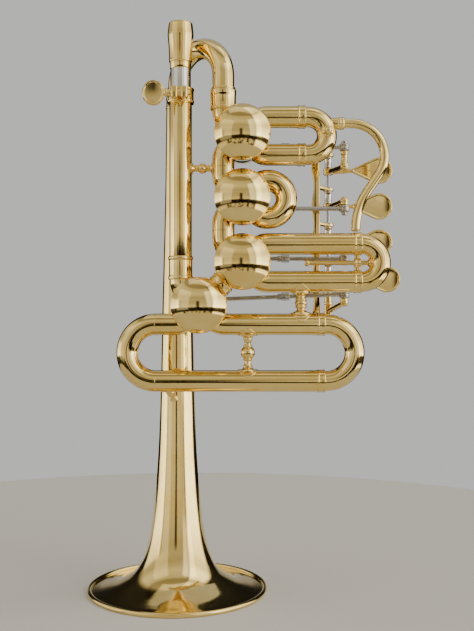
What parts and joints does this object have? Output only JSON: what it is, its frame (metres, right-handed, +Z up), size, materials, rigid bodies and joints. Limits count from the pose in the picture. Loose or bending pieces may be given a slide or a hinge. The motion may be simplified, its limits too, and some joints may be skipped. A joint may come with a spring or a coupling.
{
  "type": "rotary valve piccolo trumpet",
  "caption": "Compact brass trumpet with rotary valves worked by finger levers, folded tubing with tuning slides, a mouthpiece socket and a flared bell to stand on.",
  "frame": {"origin": "centre of the bell rim, on the plane that the rim rests on", "axes": "+Z up along the bell towards the mouthpiece socket, +X along the valve slides towards the levers, +Y from the valve caps towards the linkage"},
  "size_m": [0.1771, 0.101, 0.3115],
  "materials": {
    "lacquer": "polished gold lacquer",
    "raw_brass": "machined, unlacquered",
    "nickel_silver": "polished nickel silver",
    "steel": "polished steel",
    "cork": "pressed cork"
  },
  "bodies": {
    "root": {"bell": "lacquer", "bell_rim_wire": "steel", "bell_bow": "lacquer", "bow_ferrules": "lacquer", "leadpipe": "lacquer", "leadpipe_elbow": "lacquer", "joint_ferrules": "lacquer", "clamp_ring": "lacquer", "valve_caps": "lacquer", "bearing_plates": "raw_brass", "stop_corks": "cork", "valve_links": "lacquer", "diagonal_link": "lacquer", "valve_outlet": "lacquer", "slide_1_tubes": "lacquer", "slide_2_bow": "lacquer", "slide_3_tubes": "lacquer", "slide_3_bridge": "lacquer", "slide_4_tubes": "lacquer", "slide_4_return_bow": "lacquer", "slide_ferrules": "lacquer", "leadpipe_brace": "lacquer", "bell_braces": "lacquer", "slide_4_brace": "lacquer", "slide_brace_34": "lacquer", "lever_rail": "lacquer", "lever_axle": "steel", "spring_barrels": "nickel_silver", "lever_springs": "steel", "valve_casing_1": "lacquer", "valve_casing_2": "lacquer", "valve_casing_3": "lacquer", "valve_casing_4": "lacquer"},
    "tuning": {"tuning_tube": "nickel_silver", "receiver": "lacquer"},
    "thumb": {"thumb_screw": "lacquer"},
    "crook_1": {"slide_1_crook": "lacquer", "slide_1_knob": "lacquer", "slide_1_grip_rod": "lacquer"},
    "crook_3": {"slide_3_crook": "lacquer", "slide_3_stop_rod": "lacquer"},
    "crook_4": {"slide_4_crook": "lacquer"},
    "rotor_body_1": {"rotor_1": "raw_brass", "stop_arm_1": "steel"},
    "lever_body_1": {"lever_1": "lacquer"},
    "rod_body_1": {"link_rod_1": "steel"},
    "rotor_body_2": {"rotor_2": "raw_brass", "stop_arm_2": "steel"},
    "lever_body_2": {"lever_2": "lacquer"},
    "rod_body_2": {"link_rod_2": "steel"},
    "rotor_body_3": {"rotor_3": "raw_brass", "stop_arm_3": "steel"},
    "lever_body_3": {"lever_3": "lacquer"},
    "rod_body_3": {"link_rod_3": "steel"},
    "rotor_body_4": {"rotor_4": "raw_brass", "stop_arm_4": "steel"},
    "lever_body_4": {"lever_4": "lacquer"},
    "rod_body_4": {"link_rod_4": "steel"}
  },
  "joints": [
    {"name": "tuning_slide", "type": "slide", "parent": "root", "child": "tuning", "axis": [0, 0, 1], "range_m": [-0.009, 0.012]},
    {"name": "clamp_screw_turn", "type": "hinge", "parent": "root", "child": "thumb", "pos_m": [-0.008, -0.0342, 0.2716], "axis": [1, 0, 0], "range_deg": [0, 270]},
    {"name": "slide_1_pull", "type": "slide", "parent": "root", "child": "crook_1", "axis": [1, 0, 0], "range_m": [0, 0.01]},
    {"name": "slide_3_pull", "type": "slide", "parent": "root", "child": "crook_3", "axis": [1, 0, 0], "range_m": [0, 0.018]},
    {"name": "slide_4_pull", "type": "slide", "parent": "root", "child": "crook_4", "axis": [1, 0, 0], "range_m": [0, 0.025]},
    {"name": "lever_1_press", "type": "hinge", "parent": "root", "child": "lever_body_1", "pos_m": [0.086, 0.011, 0.2508], "axis": [0, 0, 1], "range_deg": [0, 20], "stiffness_Nm_per_rad": 0.05, "springref_deg": -17.19},
    {"name": "rod_1_swing", "type": "hinge", "parent": "lever_body_1", "child": "rod_body_1", "pos_m": [0.093, -0.0085, 0.24762], "axis": [0, 0, 1], "range_deg": [-19, 0]},
    {"name": "rotor_1_turn", "type": "hinge", "parent": "root", "child": "rotor_body_1", "pos_m": [0.0363, -0.024, 0.2508], "axis": [0, 1, 0], "range_deg": [-90, 0]},
    {"name": "lever_2_press", "type": "hinge", "parent": "root", "child": "lever_body_2", "pos_m": [0.086, 0.011, 0.2167], "axis": [0, 0, 1], "range_deg": [0, 20], "stiffness_Nm_per_rad": 0.05, "springref_deg": -17.19},
    {"name": "rod_2_swing", "type": "hinge", "parent": "lever_body_2", "child": "rod_body_2", "pos_m": [0.093, -0.0085, 0.21352], "axis": [0, 0, 1], "range_deg": [-19, 0]},
    {"name": "rotor_2_turn", "type": "hinge", "parent": "root", "child": "rotor_body_2", "pos_m": [0.0363, -0.024, 0.2167], "axis": [0, 1, 0], "range_deg": [-90, 0]},
    {"name": "lever_3_press", "type": "hinge", "parent": "root", "child": "lever_body_3", "pos_m": [0.086, 0.011, 0.1826], "axis": [0, 0, 1], "range_deg": [0, 20], "stiffness_Nm_per_rad": 0.05, "springref_deg": -17.19},
    {"name": "rod_3_swing", "type": "hinge", "parent": "lever_body_3", "child": "rod_body_3", "pos_m": [0.093, -0.0085, 0.18578], "axis": [0, 0, 1], "range_deg": [-19, 0]},
    {"name": "rotor_3_turn", "type": "hinge", "parent": "root", "child": "rotor_body_3", "pos_m": [0.0363, -0.024, 0.1826], "axis": [0, 1, 0], "range_deg": [0, 90]},
    {"name": "lever_4_press", "type": "hinge", "parent": "root", "child": "lever_body_4", "pos_m": [0.086, 0.011, 0.1597], "axis": [0, 0, 1], "range_deg": [0, 20], "stiffness_Nm_per_rad": 0.05, "springref_deg": -17.19},
    {"name": "rod_4_swing", "type": "hinge", "parent": "lever_body_4", "child": "rod_body_4", "pos_m": [0.093, -0.0085, 0.166], "axis": [0, 0, 1], "range_deg": [-19, 0]},
    {"name": "rotor_4_turn", "type": "hinge", "parent": "root", "child": "rotor_body_4", "pos_m": [0.0134, -0.024, 0.1597], "axis": [0, 1, 0], "range_deg": [0, 90]}
  ],
  "couplings": [
    {"joint": "rod_1_swing", "follows": "lever_1_press", "ratio": -0.8291},
    {"joint": "rotor_1_turn", "follows": "lever_1_press", "ratio": -4.5},
    {"joint": "rod_2_swing", "follows": "lever_2_press", "ratio": -0.8291},
    {"joint": "rotor_2_turn", "follows": "lever_2_press", "ratio": -4.5},
    {"joint": "rod_3_swing", "follows": "lever_3_press", "ratio": -0.8291},
    {"joint": "rotor_3_turn", "follows": "lever_3_press", "ratio": 4.5},
    {"joint": "rod_4_swing", "follows": "lever_4_press", "ratio": -0.8764},
    {"joint": "rotor_4_turn", "follows": "lever_4_press", "ratio": 4.5}
  ]
}
